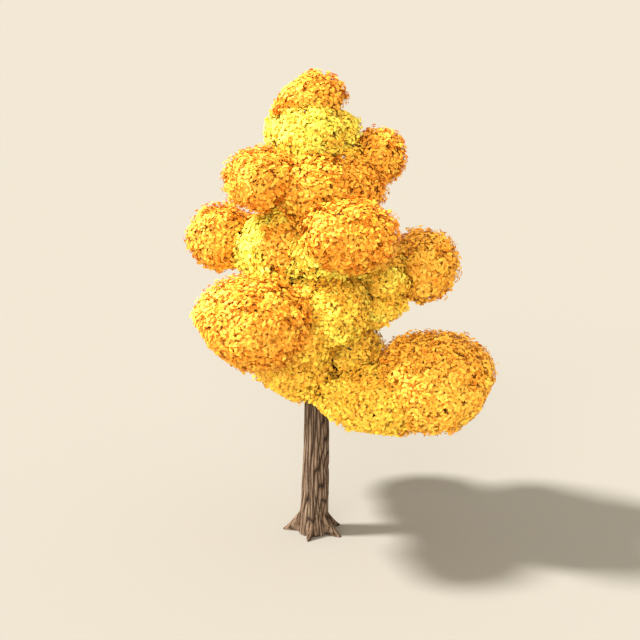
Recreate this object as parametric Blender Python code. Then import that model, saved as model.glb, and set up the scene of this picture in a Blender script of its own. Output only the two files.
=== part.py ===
"""A ginkgo in autumn leaf, 15 m tall: a trunk with a root flare, boughs, and rounded masses of foliage.

Each mass of foliage owns an ellipsoid of space. Where two ellipsoids overlap, a point belongs to the
mass whose surface it is deepest under, so the masses fill the crown between them and never meet.
+Z is up, the front is -Y, and the origin is the middle of the flat cut under the trunk.
Units are metres and degrees.
"""

import math
import random

import bmesh
import bpy
from mathutils import Matrix, Vector

# The trunk: a single leader that runs up through the crown to the topmost mass
TRUNK_TIP_HEIGHT = 13.6
TRUNK_FOOT_RADIUS = 0.475
TRUNK_TAPER_HEIGHT = 14.6
TRUNK_TAPER_POWER = 0.55
TRUNK_RINGS = 15
TRUNK_BEVEL_RESOLUTION = 3
TRUNK_SWAY = 0.11
TRUNK_SWAY_WAVE = 8.6
TRUNK_SWAY_BACK = 0.05
TRUNK_SWAY_BACK_WAVE = 11.0
FLARE_RADIUS = 0.05
FLARE_HEIGHT = 0.45
LOW_RING_HEIGHTS = (-0.4, 0.0, 0.22, 0.55)
FIRST_EVEN_RING_HEIGHT = 1.1

# The surface roots: azimuth on the ground and how far the tip lies from the trunk's middle
SURFACE_ROOTS = {26: 0.97, 100: 0.95, 174: 1.00, 258: 0.84, 330: 1.02}
ROOT_TOP_HEIGHT = 0.72
ROOT_FALL_POWER = 1.35
ROOT_TOP_RADIUS = 0.25
ROOT_TIP_RADIUS = 0.06
ROOT_START_SHARE = 0.18
ROOT_END_SHARE = 1.02
ROOT_DIP = 0.02
ROOT_POINTS = 6
GROUND_CUT_SIZE = 4.0

# The outer masses, each at the end of its bough: azimuth, reach, height, half-width and half-height
PUFFS = {
    "lower_right": (-15, 3.90, 5.50, 2.10, 1.66),
    "lower_back": (106, 3.10, 6.15, 1.85, 1.45),
    "lower_left": (232, 2.80, 7.65, 1.90, 1.48),
    "back_right": (63, 2.75, 8.10, 1.60, 1.30),
    "middle_right": (16, 3.70, 8.85, 1.28, 1.29),
    "back_left": (126, 2.50, 9.35, 1.50, 1.25),
    "middle_left": (174, 2.93, 9.87, 1.14, 1.14),
    "front": (296, 2.45, 10.22, 1.54, 1.13),
    "upper_back": (85, 1.80, 11.35, 1.35, 1.05),
    "upper_left": (221, 1.98, 11.75, 1.24, 1.03),
    "upper_right": (9, 2.01, 12.40, 0.97, 0.96),
}

# Each outer mass has a smaller inner one nearer the trunk, beside and below its bough
INNER_REACH_SHARE = 0.59
INNER_TURN = 12
INNER_DROP_SHARE = 0.25
INNER_SIZE_SHARE = 0.80

# Rings of masses round the trunk: azimuth of each, then reach, height, half-width and half-height of all
RINGS = {
    "skirt": ((-50, 62), 1.38, 4.92, 1.22, 1.10),
    "base": ((-128, 8, 150), 1.00, 6.08, 1.42, 1.34),
    "heart": ((-75, 108, 190), 1.12, 7.80, 1.50, 1.38),
    "ledge": ((3,), 2.10, 7.62, 1.05, 0.92),
    "waist": ((-8, 78, 212), 1.12, 9.62, 1.36, 1.30),
    "shoulder": ((-14, -92, 140), 0.98, 11.48, 1.38, 1.14),
    "crest": ((-100, 20, 140), 0.46, 13.12, 1.16, 1.12),
}
CAP = (14.10, 1.22, 0.92)
AMBER_AMONG_RINGS = ("waist_3",)

# Boughs and stems, as shares of the half-width of the mass that they carry
BOUGH_RADIUS_SHARE = 0.070
STEM_RADIUS_SHARE = 0.044
TIP_TAPER = 0.45
COLLAR_SHARE = 0.35
COLLAR_LENGTH = 0.30
BOUGH_RISE_SHARE = 0.40
STEM_RISE_SHARE = 0.80
LOWEST_BOUGH = 4.75
LOWEST_STEM = 4.30
BOUGH_ARCH = 0.10
HUB_DROP_SHARE = 0.22
BOUGH_POINTS = 7
STEM_POINTS = 4
LIMB_BEVEL_RESOLUTION = 1
STEM_BEVEL_RESOLUTION = 0
SAMPLES_PER_SEGMENT = 12
SHORTEST_SEGMENT = 0.08
STEM_START = 0.1

# Twigs, each ending in a cup of three leaves. A leaf's outline and ridge are shares of its length
SEED = 31
TWIGS_PER_SQUARE_METRE = 0.38
TWIG_REACH = 0.80
TWIG_REACH_SPREAD = 0.02
TWIG_RADIUS = 0.075
TWIG_TIP_RADIUS = 0.060
TWIG_WALK = (0.25, 0.375, 0.5, 0.625, 0.75, 0.875, 1.0)
LEAVES_IN_CUP = 3
LEAF_LENGTH_SHARE = 0.33
LEAF_LENGTH_LIMITS = (0.40, 0.62)
LEAF_LENGTH_SPREAD = 0.1
LEAF_LEAN = (45.0, 68.0)
LEAF_SINK = 0.09
LEAF_THICKNESS_SHARE = 0.05
LEAF_OUTLINE = ((0.0, 0.0), (0.52, 0.92), (0.0, 0.80), (-0.52, 0.92))
LEAF_RIDGE = 0.52
TURNS_TRIED = 5

# Spaces, cores and clearances. A depth is 0 at a mass's centre and 1 on the surface of its space
SPACE_SCALE = 1.18
CORE_DEPTH = 0.77
CORE_STEP = 0.02
SMALLEST_CORE_DEPTH = 0.1
CORE_MARGIN = 0.05
LEAF_MARGIN = 0.02
OPEN_DEPTH = 0.85
NEAR_DEPTH = 1.1
NEAR_MARGIN = 0.15
NEAR_STEPS = 4
LIMB_CLEARANCE = 0.06
LIMB_WIDENING = 1.2
TRUNK_WIDENING = 1.08
TRUNK_CUTTER_RINGS = 9
SEAT_GAP = 0.0004

BARK = (0.155, 0.095, 0.062, 1.0)
AMBER = (0.93, 0.47, 0.035, 1.0)
YELLOW = (0.97, 0.70, 0.045, 1.0)
BARK_ROUGHNESS = 0.9
LEAF_ROUGHNESS = 0.6
SMOOTH_BELOW = 50.0
WELD = 0.00001
UP = Vector((0.0, 0.0, 1.0))


def polar(azimuth, reach, height):
    turn = math.radians(azimuth)
    return Vector((reach * math.cos(turn), reach * math.sin(turn), height))


def trunk_axis(height):
    """The leader's middle at a height: it sways a little to one side and back."""
    across = TRUNK_SWAY * math.sin(math.pi * height / TRUNK_SWAY_WAVE)
    back = TRUNK_SWAY_BACK * math.sin(math.pi * height / TRUNK_SWAY_BACK_WAVE)
    return Vector((across, back, height))


def trunk_radius(height):
    share = max(0.0, 1.0 - max(height, 0.0) / TRUNK_TAPER_HEIGHT)
    flare = FLARE_RADIUS * math.exp(-max(height, 0.0) / FLARE_HEIGHT)
    return TRUNK_FOOT_RADIUS * share**TRUNK_TAPER_POWER + flare


class Mass:
    """One mass of foliage: the ellipsoid of space that it may fill, and the limb that carries it."""

    def __init__(self, name, centre, half_width, half_height, colour, has_bough):
        self.name = name
        self.centre = centre
        self.half_width = half_width * SPACE_SCALE
        self.half_height = half_height * SPACE_SCALE
        self.colour = colour
        self.has_bough = has_bough
        self.hub = centre - UP * (self.half_height * HUB_DROP_SHARE)
        self.limb = []

    def depth(self, point):
        """0 at the centre, 1 on the surface of the ellipsoid, more outside it."""
        offset = point - self.centre
        flat = math.hypot(offset.x, offset.y) / self.half_width
        return math.hypot(flat, offset.z / self.half_height)

    def owns(self, point, others, margin):
        depth = self.depth(point)
        if depth > 1.0:
            return False
        return all(other is self or other.depth(point) > depth + margin for other in others)

    def surface_point(self, direction, share=1.0):
        return self.centre + Vector(
            (
                direction.x * self.half_width * share,
                direction.y * self.half_width * share,
                direction.z * self.half_height * share,
            )
        )


def plan_masses():
    """Every mass of the crown, from the named sizes."""
    masses = []
    for name, (azimuth, reach, height, half_width, half_height) in PUFFS.items():
        centre = polar(azimuth, reach, height)
        masses.append(Mass(f"foliage_{name}", centre, half_width, half_height, AMBER, True))
        to_front = -1.0 if math.cos(math.radians(azimuth)) > 0.0 else 1.0
        inner = polar(
            azimuth + INNER_TURN * to_front,
            reach * INNER_REACH_SHARE,
            height - half_width * INNER_DROP_SHARE,
        )
        sizes = (half_width * INNER_SIZE_SHARE, half_height * INNER_SIZE_SHARE)
        masses.append(Mass(f"foliage_{name}_inner", inner, *sizes, YELLOW, False))
    for name, (azimuths, reach, height, half_width, half_height) in RINGS.items():
        for number, azimuth in enumerate(azimuths, 1):
            centre = polar(azimuth, reach, height)
            place = f"{name}_{number}"
            colour = AMBER if place in AMBER_AMONG_RINGS else YELLOW
            masses.append(Mass(f"foliage_{place}", centre, half_width, half_height, colour, False))
    height, half_width, half_height = CAP
    cap_centre = trunk_axis(TRUNK_TIP_HEIGHT)
    cap_centre.z = height
    masses.append(Mass("foliage_cap", cap_centre, half_width, half_height, AMBER, False))
    for mass in masses:
        mass.limb = plan_limb(mass)
    return masses


def plan_limb(mass):
    """The (point, radius) pairs of the limb from the middle of the trunk to the hub of its mass."""
    share = BOUGH_RADIUS_SHARE if mass.has_bough else STEM_RADIUS_SHARE
    rise = BOUGH_RISE_SHARE if mass.has_bough else STEM_RISE_SHARE
    base_radius = share * mass.half_width
    if mass.name == "foliage_cap":
        start = trunk_axis(TRUNK_TIP_HEIGHT) + UP * SEAT_GAP
        base_radius = trunk_radius(TRUNK_TIP_HEIGHT)
    else:
        reach = math.hypot(mass.hub.x, mass.hub.y)
        lowest = LOWEST_BOUGH if mass.has_bough else LOWEST_STEM
        start = trunk_axis(max(lowest, mass.hub.z - rise * reach))
    length = (mass.hub - start).length
    limb = []
    points = BOUGH_POINTS if mass.has_bough else STEM_POINTS
    for step in range(points):
        share = step / (points - 1)
        point = start.lerp(mass.hub, share)
        if mass.has_bough:
            point += UP * (BOUGH_ARCH * length * math.sin(math.pi * share))
        collar = COLLAR_SHARE * math.exp(-share * length / COLLAR_LENGTH)
        if mass.name == "foliage_cap":
            collar = 0.0
        limb.append((point, base_radius * (1.0 - (1.0 - TIP_TAPER) * share + collar)))
    return limb


def gap_to_limb(point, limb):
    """Distance from a point to the surface of a tapering limb."""
    least = math.inf
    for (first, first_radius), (second, second_radius) in zip(limb, limb[1:]):
        along = second - first
        share = (point - first).dot(along) / along.length_squared
        share = min(1.0, max(0.0, share))
        radius = first_radius + (second_radius - first_radius) * share
        least = min(least, (point - first.lerp(second, share)).length - radius)
    return least


def trunk_line(rings=TRUNK_RINGS):
    """The (point, radius) pairs of the trunk from below the ground to its tip."""
    last = rings - len(LOW_RING_HEIGHTS) - 1
    rise = (TRUNK_TIP_HEIGHT - FIRST_EVEN_RING_HEIGHT) / last
    even = [FIRST_EVEN_RING_HEIGHT + rise * step for step in range(last + 1)]
    return [(trunk_axis(height), trunk_radius(height)) for height in (*LOW_RING_HEIGHTS, *even)]


def widened(line, margin, factor=1.0):
    """The same limb, thicker and longer at its far end by a margin."""
    wide = [(point, radius * factor + margin) for point, radius in line]
    last, radius = wide[-1]
    onward = (last - wide[-2][0]).normalized()
    wide[-1] = (last + onward * margin, radius)
    return wide


def new_group(name):
    group = bpy.data.collections.new(name)
    bpy.context.scene.collection.children.link(group)
    return group


def move_to(group, obj):
    """Puts an object in one collection and in no other."""
    for holder in list(obj.users_collection):
        holder.objects.unlink(obj)
    group.objects.link(obj)
    return obj


def clear_away(group):
    for obj in list(group.objects):
        bpy.data.objects.remove(obj)
    bpy.data.collections.remove(group)


def mesh_of(shape, name):
    """Ends a bmesh as a mesh."""
    mesh = bpy.data.meshes.new(name)
    shape.to_mesh(mesh)
    shape.free()
    return mesh


def material(name, colour, roughness):
    made = bpy.data.materials.new(name)
    made.use_nodes = True
    shader = made.node_tree.nodes["Principled BSDF"]
    shader.inputs["Base Color"].default_value = colour
    shader.inputs["Roughness"].default_value = roughness
    made.diffuse_color = colour
    return made


def tube(name, line, bevel_resolution, group):
    """A tapering tube along (point, radius) pairs, as a closed mesh object."""
    curve = bpy.data.curves.new(name, "CURVE")
    curve.dimensions = "3D"
    curve.bevel_depth = 1.0
    curve.bevel_resolution = bevel_resolution
    curve.use_fill_caps = True
    spline = curve.splines.new("POLY")
    spline.points.add(len(line) - 1)
    for target, (point, radius) in zip(spline.points, line):
        target.co = (*point, 1.0)
        target.radius = radius
    holder = move_to(group, bpy.data.objects.new(f"{name} curve", curve))
    bpy.context.view_layer.update()
    evaluated = holder.evaluated_get(bpy.context.evaluated_depsgraph_get())
    shape = bmesh.new()
    shape.from_mesh(bpy.data.meshes.new_from_object(evaluated))
    bmesh.ops.remove_doubles(shape, verts=shape.verts, dist=WELD)
    bmesh.ops.recalc_face_normals(shape, faces=shape.faces)
    made = move_to(group, bpy.data.objects.new(name, mesh_of(shape, name)))
    made.matrix_world = holder.matrix_world
    bpy.data.objects.remove(holder)
    bpy.data.curves.remove(curve)
    return made


def boolean(obj, operation, other, solver="EXACT"):
    """Adds a Boolean with an object or a collection."""
    modifier = obj.modifiers.new(operation.title(), "BOOLEAN")
    modifier.operation = operation
    modifier.solver = solver
    if isinstance(other, bpy.types.Collection):
        modifier.operand_type = "COLLECTION"
        modifier.collection = other
    else:
        modifier.object = other


def apply_modifiers(obj):
    """Puts the evaluated mesh in place of the object's own and removes the modifiers."""
    bpy.context.view_layer.update()
    evaluated = obj.evaluated_get(bpy.context.evaluated_depsgraph_get())
    mesh = bpy.data.meshes.new_from_object(evaluated)
    obj.modifiers.clear()
    obj.data = mesh


def finish_wood(obj, bark):
    """Shades a trunk or bough smooth round its girth and gives it its bark."""
    obj.data.materials.clear()
    obj.data.materials.append(bark)
    obj.data.shade_smooth()
    obj.data.set_sharp_from_angle(angle=math.radians(SMOOTH_BELOW))


def islands(shape):
    """The separate bodies of a mesh, as lists of faces."""
    left = set(shape.faces)
    found = []
    while left:
        waiting = [left.pop()]
        body = []
        while waiting:
            face = waiting.pop()
            body.append(face)
            for edge in face.edges:
                for near in edge.link_faces:
                    if near in left:
                        left.remove(near)
                        waiting.append(near)
        found.append(body)
    return found


def body_volume(faces):
    """Signed volume inside a closed set of faces."""
    total = 0.0
    for face in faces:
        corners = [vert.co for vert in face.verts]
        for second, third in zip(corners[1:], corners[2:]):
            total += corners[0].dot(second.cross(third)) / 6.0
    return total


def keep_largest_body(obj):
    """Drops loose scraps and fills sealed hollows."""
    shape = bmesh.new()
    shape.from_mesh(obj.data)
    bodies = islands(shape)
    if len(bodies) > 1:
        largest = max(bodies, key=body_volume)
        scraps = [face for body in bodies if body is not largest for face in body]
        bmesh.ops.delete(shape, geom=scraps, context="FACES")
        shape.to_mesh(obj.data)
    shape.free()


def root_line(azimuth, reach):
    """The (point, radius) pairs of a surface root, from inside the trunk down to its tip."""
    line = []
    for step in range(ROOT_POINTS):
        share = step / (ROOT_POINTS - 1)
        out = reach * (ROOT_START_SHARE + (ROOT_END_SHARE - ROOT_START_SHARE) * share)
        height = ROOT_TOP_HEIGHT * (1.0 - share) ** ROOT_FALL_POWER - ROOT_DIP * share
        radius = ROOT_TOP_RADIUS + (ROOT_TIP_RADIUS - ROOT_TOP_RADIUS) * share
        line.append((polar(azimuth, out, height), radius))
    return line


def make_trunk(tree, bark):
    """The leader and its surface roots, cut flat at ground level."""
    trunk = tube("trunk", trunk_line(), TRUNK_BEVEL_RESOLUTION, tree)
    roots = new_group("surface roots")
    for azimuth, reach in SURFACE_ROOTS.items():
        tube(f"root {azimuth}", root_line(azimuth, reach), LIMB_BEVEL_RESOLUTION, roots)
    boolean(trunk, "UNION", roots)
    apply_modifiers(trunk)
    clear_away(roots)
    below = new_group("below ground")
    shape = bmesh.new()
    middle = Matrix.Translation((0.0, 0.0, -GROUND_CUT_SIZE / 2.0))
    bmesh.ops.create_cube(shape, size=GROUND_CUT_SIZE, matrix=middle)
    move_to(below, bpy.data.objects.new("ground cut", mesh_of(shape, "ground cut")))
    boolean(trunk, "DIFFERENCE", below)
    apply_modifiers(trunk)
    clear_away(below)
    finish_wood(trunk, bark)


def split_limb(mass, masses):
    """Where a bough enters its mass: the part outside it, then the stem inside, a seat's gap apart."""
    samples = []
    for (first, first_radius), (second, second_radius) in zip(mass.limb, mass.limb[1:]):
        for step in range(SAMPLES_PER_SEGMENT):
            share = step / SAMPLES_PER_SEGMENT
            radius = first_radius + (second_radius - first_radius) * share
            samples.append((first.lerp(second, share), radius))
    samples.append(mass.limb[-1])
    inside = [index for index, (point, _) in enumerate(samples) if mass.owns(point, masses, 0.0)]
    cut = min(inside[0], len(samples) - SAMPLES_PER_SEGMENT)
    cut_point, cut_radius = samples[cut]
    before = samples[:cut:SAMPLES_PER_SEGMENT]
    if (before[-1][0] - cut_point).length < SHORTEST_SEGMENT:
        before.pop()
    next_ring = cut + SAMPLES_PER_SEGMENT // 2
    next_ring += -next_ring % SAMPLES_PER_SEGMENT
    onward = (cut_point - before[-1][0]).normalized()
    bough = before + [(cut_point, cut_radius)]
    stem = [(cut_point + onward * out, cut_radius) for out in (SEAT_GAP, STEM_START)]
    return bough, stem + samples[next_ring::SAMPLES_PER_SEGMENT]


def core_mesh(mass, masses):
    """The dense middle of a mass: a low icosphere pulled in wherever a neighbour's space begins."""
    shape = bmesh.new()
    bmesh.ops.create_icosphere(shape, subdivisions=2, radius=1.0)
    for vert in shape.verts:
        direction = vert.co.normalized()
        depth = CORE_DEPTH
        while depth > SMALLEST_CORE_DEPTH:
            if mass.owns(mass.surface_point(direction, depth), masses, CORE_MARGIN):
                break
            depth -= CORE_STEP
        vert.co = mass.surface_point(direction, depth)
    return mesh_of(shape, mass.name)


def leaf_template():
    """A fan-shaped leaf with a notch, one metre long from its root along +Y, thickest on its ridge."""
    shape = bmesh.new()
    rim = [shape.verts.new((across, along, 0.0)) for across, along in LEAF_OUTLINE]
    half = LEAF_THICKNESS_SHARE / 2.0
    for side in (1.0, -1.0):
        ridge = shape.verts.new((0.0, LEAF_RIDGE, half * side))
        for first, second in zip(rim, rim[1:] + rim[:1]):
            shape.faces.new((first, second, ridge))
    bmesh.ops.recalc_face_normals(shape, faces=shape.faces)
    return mesh_of(shape, "leaf")


def twig_mesh(length):
    """A straight twig from the origin along +Z, with one flat side for each leaf of its cup."""
    shape = bmesh.new()
    bmesh.ops.create_cone(
        shape,
        cap_ends=True,
        segments=LEAVES_IN_CUP,
        radius1=TWIG_RADIUS,
        radius2=TWIG_TIP_RADIUS,
        depth=length,
        matrix=Matrix.Translation((0.0, 0.0, length / 2.0)),
    )
    return mesh_of(shape, "twig")


def spread(count, turn):
    """Directions spaced evenly over a sphere, along a golden spiral."""
    golden = math.pi * (3.0 - math.sqrt(5.0))
    for number in range(count):
        height = 1.0 - 2.0 * (number + 0.5) / count
        flat = math.sqrt(1.0 - height * height)
        angle = golden * number + turn
        yield Vector((flat * math.cos(angle), flat * math.sin(angle), height))


def leaf_place(number, twig_length, lean, length):
    """The matrix, in a twig's own frame, that sets a leaf in the middle of one of its sides."""
    side = Matrix.Rotation(math.tau * (number + 0.5) / LEAVES_IN_CUP, 4, "Z")
    root = Matrix.Translation((0.0, 0.0, twig_length - LEAF_SINK))
    tilt = Matrix.Rotation(math.radians(90.0 - lean), 4, "X")
    return side @ root @ tilt @ Matrix.Scale(length, 4)


def is_free(points, mass, masses, limbs):
    """Whether every point lies in the mass's own space and clear of every limb but its own."""
    for point in points:
        if not mass.owns(point, masses, LEAF_MARGIN):
            return False
        if (point - trunk_axis(point.z)).length < trunk_radius(point.z) + LIMB_CLEARANCE:
            return False
        if any(gap_to_limb(point, limb) < LIMB_CLEARANCE for limb in limbs):
            return False
    return True


def in_the_open(point, mass, masses):
    """Whether a point is on the crown's outside, not in the seam between two masses."""
    return all(other is mass or other.depth(point) > OPEN_DEPTH for other in masses)


def leaf_cup(frame, twig_length, usual_length, mass, masses, limbs, rng):
    """The leaves round one twig's end that fit in the mass's space, at the best of a few turns."""
    outline = [Vector((across, along, 0.0)) for across, along in LEAF_OUTLINE]
    best = []
    for _ in range(TURNS_TRIED):
        spin = Matrix.Rotation(rng.uniform(0.0, math.tau), 4, "Z")
        length = usual_length * rng.uniform(1.0 - LEAF_LENGTH_SPREAD, 1.0 + LEAF_LENGTH_SPREAD)
        fits = []
        for number in range(LEAVES_IN_CUP):
            lean = rng.uniform(*LEAF_LEAN)
            place = frame @ spin @ leaf_place(number, twig_length, lean, length)
            if is_free([place @ corner for corner in outline], mass, masses, limbs):
                fits.append(place)
        if len(fits) >= len(best) and fits:
            best = [frame @ spin] + fits
    return best


def twig_pieces(mass, masses, limbs, leaf, rng):
    """Twigs from the hub out past the core, each ending in a cup of leaves: (mesh, matrix) pairs."""
    pieces = []
    mean = (mass.half_width * 2.0 + mass.half_height) / 3.0
    low, high = LEAF_LENGTH_LIMITS
    leaf_length = min(high, max(low, LEAF_LENGTH_SHARE * mean))
    count = round(4.0 * math.pi * mean * mean * TWIGS_PER_SQUARE_METRE)
    for direction in spread(count, rng.uniform(0.0, math.tau)):
        end = mass.surface_point(direction, TWIG_REACH + rng.uniform(-1.0, 1.0) * TWIG_REACH_SPREAD)
        along = end - mass.hub
        walk = [mass.hub.lerp(end, share) for share in TWIG_WALK]
        if not in_the_open(end, mass, masses) or not is_free(walk, mass, masses, limbs):
            continue
        frame = Matrix.Translation(mass.hub) @ along.to_track_quat("Z", "Y").to_matrix().to_4x4()
        cup = leaf_cup(frame, along.length, leaf_length, mass, masses, limbs, rng)
        if cup:
            pieces.append((twig_mesh(along.length), cup[0]))
            pieces += [(leaf, place) for place in cup[1:]]
    return pieces


def comes_near(limb, mass, masses):
    """Whether a limb runs through a mass's own space or close by it."""
    for (first, _), (second, _) in zip(limb, limb[1:]):
        for step in range(NEAR_STEPS + 1):
            point = first.lerp(second, step / NEAR_STEPS)
            depth = mass.depth(point)
            if depth > NEAR_DEPTH:
                continue
            if all(other.depth(point) > depth - NEAR_MARGIN for other in masses):
                return True
    return False


def cut_clear(core, mass, masses, limbs):
    """Cuts a core back from the trunk and from every limb that runs through it."""
    cutters = new_group("clearances")
    for limb in limbs:
        if comes_near(limb, mass, masses):
            wide = widened(limb, LIMB_CLEARANCE, LIMB_WIDENING)
            tube("clearance", wide, STEM_BEVEL_RESOLUTION, cutters)
    trunk = trunk_line(TRUNK_CUTTER_RINGS)
    if comes_near(trunk, mass, masses):
        wide = widened(trunk, LIMB_CLEARANCE, TRUNK_WIDENING)
        tube("clearance", wide, LIMB_BEVEL_RESOLUTION, cutters)
    if cutters.objects:
        boolean(core, "DIFFERENCE", cutters, "MANIFOLD")
        apply_modifiers(core)
        keep_largest_body(core)
    clear_away(cutters)


def make_foliage(tree, mass, stem, masses, limbs, trunk_seat, leaf, finish, rng):
    """One mass: its core, stem, twigs and leaves, fused into one solid."""
    foliage = move_to(tree, bpy.data.objects.new(mass.name, core_mesh(mass, masses)))
    cut_clear(foliage, mass, masses, limbs)
    sprays = new_group("sprays")
    tube(f"{mass.name} stem", stem, STEM_BEVEL_RESOLUTION, sprays)
    for number, (mesh, place) in enumerate(twig_pieces(mass, masses, limbs, leaf, rng)):
        piece = move_to(sprays, bpy.data.objects.new(f"{mass.name} {number}", mesh))
        piece.matrix_world = place
    boolean(foliage, "UNION", sprays, "MANIFOLD")
    boolean(foliage, "DIFFERENCE", trunk_seat, "MANIFOLD")
    apply_modifiers(foliage)
    clear_away(sprays)
    keep_largest_body(foliage)
    foliage.data.materials.clear()
    foliage.data.materials.append(finish)


def main():
    for obj in list(bpy.data.objects):
        bpy.data.objects.remove(obj)
    tree = new_group("ginkgo tree")
    cutters = new_group("cutters")
    bark = material("bark", BARK, BARK_ROUGHNESS)
    finishes = {
        AMBER: material("amber leaves", AMBER, LEAF_ROUGHNESS),
        YELLOW: material("yellow leaves", YELLOW, LEAF_ROUGHNESS),
    }
    make_trunk(tree, bark)
    wide_trunk = widened(trunk_line(), SEAT_GAP)
    trunk_seat = tube("trunk seat", wide_trunk, TRUNK_BEVEL_RESOLUTION, cutters)
    trunk_seat.hide_render = True
    trunk_seat.display_type = "WIRE"
    masses = plan_masses()
    leaf = leaf_template()
    for number, mass in enumerate(masses):
        stem = mass.limb
        limbs = [other.limb for other in masses if other is not mass]
        if mass.has_bough:
            line, stem = split_limb(mass, masses)
            limbs.append(line)
            bough = tube(mass.name.replace("foliage", "bough"), line, LIMB_BEVEL_RESOLUTION, tree)
            boolean(bough, "DIFFERENCE", trunk_seat)
            apply_modifiers(bough)
            finish_wood(bough, bark)
        finish = finishes[mass.colour]
        rng = random.Random(SEED + number)
        make_foliage(tree, mass, stem, masses, limbs, trunk_seat, leaf, finish, rng)


main()
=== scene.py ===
"""The looks of a ginkgo in autumn leaf: furrowed bark, forking twigs, and fan leaves in sprays.

Each mass of foliage keeps to the space of its solid. Its branches grow on from the same limb, by
the same rule as the solid's twigs, and fork twice more before they carry leaves. +Z is up, the
front is -Y, and the origin is the middle of the flat cut under the trunk. Units are metres and
degrees.
"""

import math

import bpy
import numpy as np
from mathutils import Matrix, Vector
from mathutils.bvhtree import BVHTree


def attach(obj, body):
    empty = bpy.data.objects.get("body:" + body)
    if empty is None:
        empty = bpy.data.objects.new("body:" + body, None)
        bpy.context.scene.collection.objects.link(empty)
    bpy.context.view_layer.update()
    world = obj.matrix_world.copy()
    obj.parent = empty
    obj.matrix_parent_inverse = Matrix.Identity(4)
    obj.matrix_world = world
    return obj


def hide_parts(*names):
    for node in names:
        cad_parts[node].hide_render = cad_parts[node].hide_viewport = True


# The trunk
TRUNK_TIP_HEIGHT = 13.6
TRUNK_FOOT_RADIUS = 0.475
TRUNK_TAPER_HEIGHT = 14.6
TRUNK_TAPER_POWER = 0.55
TRUNK_SWAY = 0.11
TRUNK_SWAY_WAVE = 8.6
TRUNK_SWAY_BACK = 0.05
TRUNK_SWAY_BACK_WAVE = 11.0
FLARE_RADIUS = 0.05
FLARE_HEIGHT = 0.45
ROOT_AZIMUTHS = (26, 100, 174, 258, 330)

# The trunk's mesh: its rows of points as lowest, highest and number, and how it follows the roots
TRUNK_ROWS = ((0.0, 0.9, 46), (0.93, 5.2, 116), (5.3, TRUNK_TIP_HEIGHT, 50))
TRUNK_COLUMNS = 156
COLUMN_STEPS = 1441
ROOT_CROWDING = 3.2
ROOT_CROWDING_WIDTH = 11.0
ROOT_ZONE_HEIGHT = 0.95
ROOT_FORM_HEIGHT = 1.3
ROUND_SHARE = 0.97
BLEND_ROWS = 8
SMOOTH_PASSES = 3
RAY_LENGTH = 2.0
FOOT_CLEARANCE = 0.004

# The outer masses: azimuth, reach, height, half-width and half-height
PUFFS = {
    "lower_right": (-15, 3.90, 5.50, 2.10, 1.66),
    "lower_back": (106, 3.10, 6.15, 1.85, 1.45),
    "lower_left": (232, 2.80, 7.65, 1.90, 1.48),
    "back_right": (63, 2.75, 8.10, 1.60, 1.30),
    "middle_right": (16, 3.70, 8.85, 1.28, 1.29),
    "back_left": (126, 2.50, 9.35, 1.50, 1.25),
    "middle_left": (174, 2.93, 9.87, 1.14, 1.14),
    "front": (296, 2.45, 10.22, 1.54, 1.13),
    "upper_back": (85, 1.80, 11.35, 1.35, 1.05),
    "upper_left": (221, 1.98, 11.75, 1.24, 1.03),
    "upper_right": (9, 2.01, 12.40, 0.97, 0.96),
}
INNER_REACH_SHARE = 0.59
INNER_TURN = 12
INNER_DROP_SHARE = 0.25
INNER_SIZE_SHARE = 0.80

# The inner mass under the front one hangs below its solid's place, as a lip
LIP_UNDER = "front"
LIP_DROP = 0.20

# Rings of masses round the trunk: azimuth of each, then reach, height, half-width and half-height
RINGS = {
    "skirt": ((-50, 62), 1.38, 4.92, 1.22, 1.10),
    "base": ((-128, 8, 150), 1.00, 6.08, 1.42, 1.34),
    "heart": ((-75, 108, 190), 1.12, 7.80, 1.50, 1.38),
    "ledge": ((3,), 2.10, 7.62, 1.05, 0.92),
    "waist": ((-8, 78, 212), 1.12, 9.62, 1.36, 1.30),
    "shoulder": ((-14, -92, 140), 0.98, 11.48, 1.38, 1.14),
    "crest": ((-100, 20, 140), 0.46, 13.12, 1.16, 1.12),
}
CAP = (14.10, 1.22, 0.92)
AMBER_AMONG_RINGS = ("waist_3",)
SPACE_SCALE = 1.18

# Limbs. Radii are shares of the half-width of the mass that they carry
BOUGH_RADIUS_SHARE = 0.070
STEM_RADIUS_SHARE = 0.044
TIP_TAPER = 0.45
COLLAR_SHARE = 0.35
COLLAR_LENGTH = 0.30
BOUGH_RISE_SHARE = 0.40
STEM_RISE_SHARE = 0.80
LOWEST_BOUGH = 4.75
LOWEST_STEM = 4.30
BOUGH_ARCH = 0.10
HUB_DROP_SHARE = 0.22
BOUGH_POINTS = 56
STEM_POINTS = 20
LIMB_WANDER = 0.035
LIMB_WAVES = (2.0, 3.0, 5.0)
BOUGH_SIDES = 22
TWIG_SIDES = 3
LIMB_SIDES = {"stems": 12, "branches": 6, "branchlets": TWIG_SIDES, "spray_twigs": TWIG_SIDES}
STEEP = 0.9

# Bark relief. Depths are shares of the radius
BARK_DEPTH_SHARE = 0.085
BOUGH_BARK_DEPTH_SHARE = 0.16
MEAN_RELIEF = 0.62
MIDDLE_RIDGE = 0.5
PLATES_ROUND_TRUNK = 23
PLATES_ROUND_ROOTS = 74
PLATES_ROUND_BOUGH = 9
BOUGH_BARK_STRETCH = 3.0
ROOT_BARK_STRETCH = 2.0
ROOT_BARK_SHALLOWER = 0.35
ROOT_START = 1.1
ROOT_EDGE = 2.5
FURROW_WAVES = 6
FURROW_TURNS = (1, 6)
FURROW_PITCHES = (0.9, 3.4)
FURROW_SWAYS = (0.25, 0.55)
FURROW_WANDER = 1.5
FURROW_POWER = 0.7
CROSSING_FEWER = 6
CRACKS = 2
CRACK_PITCH = 9.0
CRACK_TURNS = 2.0
CRACK_DEPTH = 0.18
CRACK_EDGE = 2.2

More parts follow.
